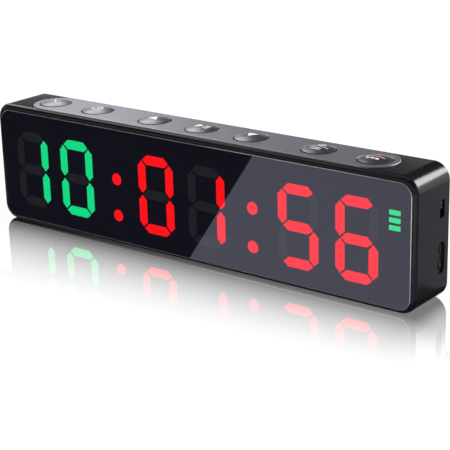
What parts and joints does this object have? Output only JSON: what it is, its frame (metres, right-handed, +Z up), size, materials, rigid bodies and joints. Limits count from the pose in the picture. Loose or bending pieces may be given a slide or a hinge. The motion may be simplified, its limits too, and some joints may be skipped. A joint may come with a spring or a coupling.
{
  "type": "gym round timer",
  "caption": "Slim rectangular tabletop timer with a smoked display window, a row of domed top buttons, a slide switch and a charging socket in one end, and a magnetic back.",
  "frame": {"origin": "on the table under the middle of the case", "axes": "+X along the case towards the end with the sockets, -Y towards the display side, +Z up"},
  "size_m": [0.16, 0.018, 0.041],
  "materials": {
    "case_black": "moulded black plastic with a satin-gloss surface",
    "cover_black": "moulded black plastic with a fine spark-eroded texture",
    "smoked_acrylic": "clear-coated smoked acrylic, mirror smooth",
    "mask_black": "flat black, absorbs stray light",
    "milky_plastic": "translucent milky plastic lit from behind",
    "strip_grey": "painted dark silver-grey plastic with a polished edge",
    "button_gloss": "high-gloss dark grey plastic",
    "switch_black": "plain black moulded plastic",
    "board_green": "glass-epoxy board with green solder resist",
    "nickel": "bright nickel plate",
    "zinc_steel": "zinc-plated steel",
    "battery_foil": "satin aluminium laminate pouch",
    "foam": "closed-cell black foam tape",
    "red_sleeve": "red PVC insulation",
    "black_sleeve": "black PVC insulation",
    "white_nylon": "natural nylon"
  },
  "bodies": {
    "case": {"battery_bar_diffuser": "milky_plastic", "battery_cell": "battery_foil", "battery_lead_black": "black_sleeve", "battery_lead_red": "red_sleeve", "battery_pad": "foam", "battery_plug": "white_nylon", "board_header": "switch_black", "button_board": "board_green", "button_board_screw_1": "zinc_steel", "button_board_screw_2": "zinc_steel", "button_ribbon": "white_nylon", "button_strip": "strip_grey", "buzzer": "switch_black", "clear_switch_body": "switch_black", "colon_diffuser_1": "milky_plastic", "colon_diffuser_2": "milky_plastic", "digit_diffuser_1": "milky_plastic", "digit_diffuser_2": "milky_plastic", "digit_diffuser_3": "milky_plastic", "digit_diffuser_4": "milky_plastic", "digit_diffuser_5": "milky_plastic", "digit_diffuser_6": "milky_plastic", "display_board": "board_green", "down_switch_body": "switch_black", "front_housing": "case_black", "interval_switch_body": "switch_black", "lens_panel": "smoked_acrylic", "mode_switch_body": "switch_black", "power_board": "board_green", "power_board_screw": "zinc_steel", "power_switch_body": "zinc_steel", "rear_cover": "cover_black", "rear_cover_screw_1": "zinc_steel", "rear_cover_screw_2": "zinc_steel", "rear_cover_screw_3": "zinc_steel", "rear_cover_screw_4": "zinc_steel", "rear_magnet_1": "nickel", "rear_magnet_2": "nickel", "segment_mask": "mask_black", "set_switch_body": "switch_black", "start_switch_body": "switch_black", "up_switch_body": "switch_black", "usb_socket_shell": "nickel", "usb_socket_tongue": "switch_black"},
    "clear_key": {"clear_button": "button_gloss", "clear_switch_stem": "white_nylon"},
    "interval_key": {"interval_button": "button_gloss", "interval_switch_stem": "white_nylon"},
    "up_key": {"up_button": "button_gloss", "up_switch_stem": "white_nylon"},
    "start_key": {"start_button": "button_gloss", "start_switch_stem": "white_nylon"},
    "down_key": {"down_button": "button_gloss", "down_switch_stem": "white_nylon"},
    "set_key": {"set_button": "button_gloss", "set_switch_stem": "white_nylon"},
    "mode_key": {"mode_button": "button_gloss", "mode_switch_stem": "white_nylon"},
    "power_slider": {"power_switch_knob": "switch_black"}
  },
  "joints": [
    {"name": "clear_press", "type": "slide", "parent": "case", "child": "clear_key", "axis": [0, 0, -1], "range_m": [0, 0.0003], "stiffness_N_per_m": 1000},
    {"name": "interval_press", "type": "slide", "parent": "case", "child": "interval_key", "axis": [0, 0, -1], "range_m": [0, 0.0003], "stiffness_N_per_m": 1000},
    {"name": "up_press", "type": "slide", "parent": "case", "child": "up_key", "axis": [0, 0, -1], "range_m": [0, 0.0003], "stiffness_N_per_m": 1000},
    {"name": "start_press", "type": "slide", "parent": "case", "child": "start_key", "axis": [0, 0, -1], "range_m": [0, 0.0003], "stiffness_N_per_m": 1000},
    {"name": "down_press", "type": "slide", "parent": "case", "child": "down_key", "axis": [0, 0, -1], "range_m": [0, 0.0003], "stiffness_N_per_m": 1000},
    {"name": "set_press", "type": "slide", "parent": "case", "child": "set_key", "axis": [0, 0, -1], "range_m": [0, 0.0003], "stiffness_N_per_m": 1000},
    {"name": "mode_press", "type": "slide", "parent": "case", "child": "mode_key", "axis": [0, 0, -1], "range_m": [0, 0.0003], "stiffness_N_per_m": 1000},
    {"name": "power_slide", "type": "slide", "parent": "case", "child": "power_slider", "axis": [0, 0, -1], "range_m": [0, 0.002]}
  ]
}
